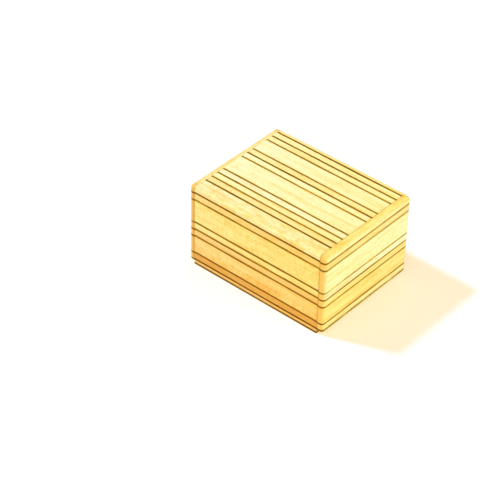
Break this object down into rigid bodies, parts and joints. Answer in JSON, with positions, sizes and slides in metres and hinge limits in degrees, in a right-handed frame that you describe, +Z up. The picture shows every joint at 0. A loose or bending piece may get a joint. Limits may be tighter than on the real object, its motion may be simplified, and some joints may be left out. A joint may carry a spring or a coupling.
{
  "type": "puzzle box",
  "caption": "Small striped wooden puzzle box with lifting end panels, hidden wooden bolts and a cover that slides away together with an end panel.",
  "frame": {"origin": "on the table, under the middle of the box", "axes": "+X along the stripes towards the end that slides away with the lid, -Y to the front, +Z up"},
  "size_m": [0.0266, 0.0204, 0.0149],
  "materials": {
    "pale_wood": "satin clear coat",
    "dark_wood": "satin clear coat",
    "inner_wood": "bare planed wood",
    "bolt_wood": "bare planed hardwood"
  },
  "bodies": {
    "case": {"bottom_board": "inner_wood", "front_strips": "pale_wood", "front_lines": "dark_wood", "back_strips": "pale_wood", "back_lines": "dark_wood", "front_inner_wall": "inner_wood", "back_inner_wall": "inner_wood", "left_end_wall": "inner_wood", "left_track_plate": "inner_wood"},
    "cover": {"lid_strips": "pale_wood", "lid_lines": "dark_wood", "lid_front_runner": "inner_wood", "lid_back_runner": "inner_wood", "lid_left_cleat": "inner_wood", "lid_end_board": "inner_wood", "right_track_plate": "inner_wood", "right_stop_batten": "inner_wood"},
    "right_end": {"right_end_strips": "pale_wood", "right_end_lines": "dark_wood", "right_end_key": "bolt_wood"},
    "left_end": {"left_end_strips": "pale_wood", "left_end_lines": "dark_wood", "left_end_key": "bolt_wood"},
    "left_bolt": {"left_bolt": "bolt_wood", "left_bolt_peg": "bolt_wood"},
    "right_bar": {"right_bar": "bolt_wood", "right_bar_peg": "bolt_wood"}
  },
  "joints": [
    {"name": "cover_slide", "type": "slide", "parent": "case", "child": "cover", "axis": [1, 0, 0], "range_m": [0, 0.0225]},
    {"name": "right_end_lift", "type": "slide", "parent": "cover", "child": "right_end", "axis": [0, 0, 1], "range_m": [0, 0.003]},
    {"name": "left_end_lift", "type": "slide", "parent": "case", "child": "left_end", "axis": [0, 0, 1], "range_m": [0, 0.003]},
    {"name": "left_bolt_slide", "type": "slide", "parent": "case", "child": "left_bolt", "axis": [0, 0, 1], "range_m": [0, 0.0009]},
    {"name": "right_bar_slide", "type": "slide", "parent": "cover", "child": "right_bar", "axis": [0, -1, 0], "range_m": [0, 0.0009]}
  ]
}
